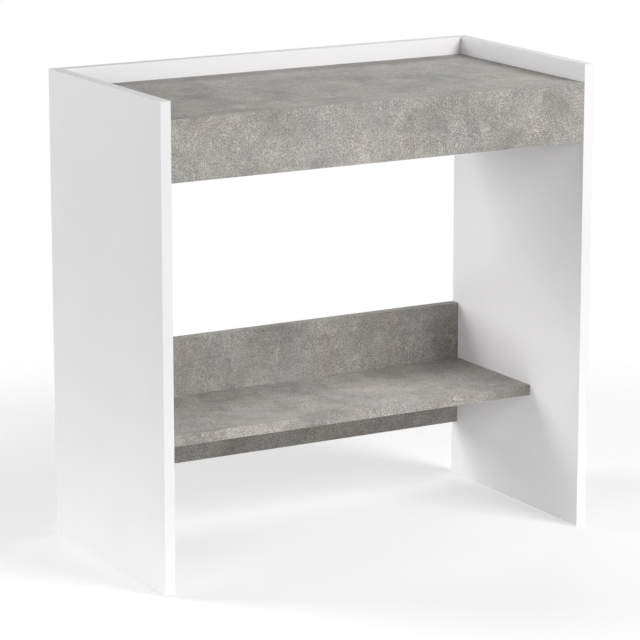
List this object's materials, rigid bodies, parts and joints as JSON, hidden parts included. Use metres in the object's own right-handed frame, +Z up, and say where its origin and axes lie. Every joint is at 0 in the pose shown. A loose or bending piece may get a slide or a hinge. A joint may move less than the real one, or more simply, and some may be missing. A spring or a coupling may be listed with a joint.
{
  "type": "secretary desk",
  "caption": "Small secretary desk: board sides with a low upstand, a lift-up worktop over a shallow compartment, a low shelf and a low back rail.",
  "frame": {"origin": "centre of the footprint on the floor, under the glides", "axes": "+X to the user's right hand when seated facing the desk's front from -Y, +Y to the back, +Z up"},
  "size_m": [0.81, 0.403, 0.8],
  "materials": {
    "white_laminate": "matt white melamine on particle board",
    "concrete_laminate": "matt grey concrete-look melamine on particle board",
    "white_edging": "matt white edge band",
    "grey_edging": "matt concrete-grey edge band",
    "zinc_steel": "zinc-plated steel",
    "zinc_alloy": "die-cast zinc alloy, dull",
    "black_polymer": "matt black acetal",
    "white_plastic": "matt white plastic",
    "grey_plastic": "matt grey plastic",
    "beech": "plain beech",
    "bumper_rubber": "clear grey soft plastic"
  },
  "bodies": {
    "carcass": {"left_side_panel": "white_laminate", "right_side_panel": "white_laminate", "upper_back_rail": "white_laminate", "compartment_floor": "white_laminate", "left_lid_batten": "white_laminate", "right_lid_batten": "white_laminate", "front_apron": "concrete_laminate", "lower_back_rail": "concrete_laminate", "lower_shelf": "concrete_laminate", "left_side_edging": "white_edging", "right_side_edging": "white_edging", "upper_rail_edging": "white_edging", "apron_edging": "grey_edging", "lower_rail_edging": "grey_edging", "shelf_edging": "grey_edging", "left_pivot_pin": "zinc_steel", "right_pivot_pin": "zinc_steel", "cam_bolts": "zinc_steel", "cam_locks": "zinc_alloy", "white_cam_covers": "white_plastic", "grey_cam_covers": "grey_plastic", "wood_dowels": "beech", "shelf_screws": "zinc_steel", "shelf_screw_caps": "grey_plastic", "batten_screws": "zinc_steel", "lid_bumpers": "bumper_rubber", "floor_glides": "white_plastic"},
    "lid": {"lid_panel": "concrete_laminate", "lid_edging": "grey_edging", "left_pivot_bush": "black_polymer", "right_pivot_bush": "black_polymer"}
  },
  "joints": [
    {"name": "lid_hinge", "type": "hinge", "parent": "carcass", "child": "lid", "pos_m": [0, 0.137, 0.761], "axis": [-1, 0, 0], "range_deg": [0, 95]}
  ]
}
